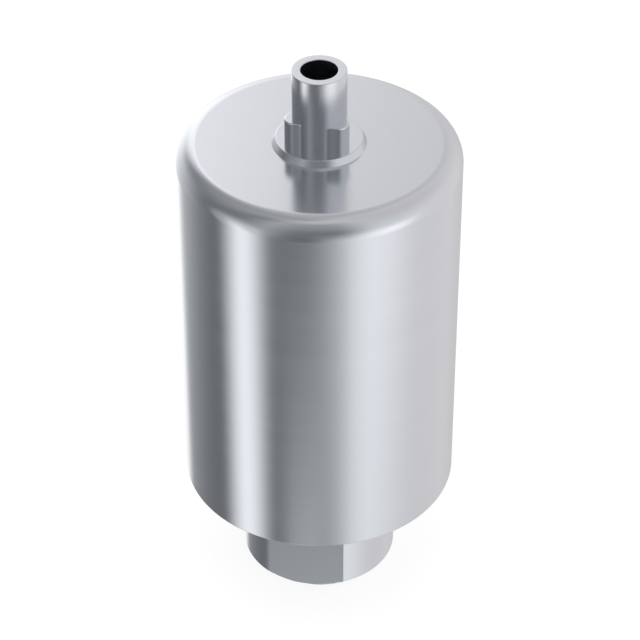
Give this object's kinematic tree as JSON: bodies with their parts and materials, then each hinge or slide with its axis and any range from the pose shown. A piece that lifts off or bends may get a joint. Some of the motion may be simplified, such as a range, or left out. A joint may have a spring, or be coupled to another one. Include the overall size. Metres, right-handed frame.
{
  "type": "dental abutment blank",
  "caption": "Pre-milled titanium blank for an individual dental abutment: lobed implant connection, round body and a holding post with an index flat.",
  "frame": {"origin": "centre of the holding post's end face", "axes": "+Z along the axis from the post to the implant connection, -Y is the outward normal of the index flat"},
  "size_m": [0.014, 0.014, 0.0301],
  "materials": {
    "titanium": null
  },
  "bodies": {
    "root": {"abutment_blank": "titanium"}
  },
  "joints": []
}
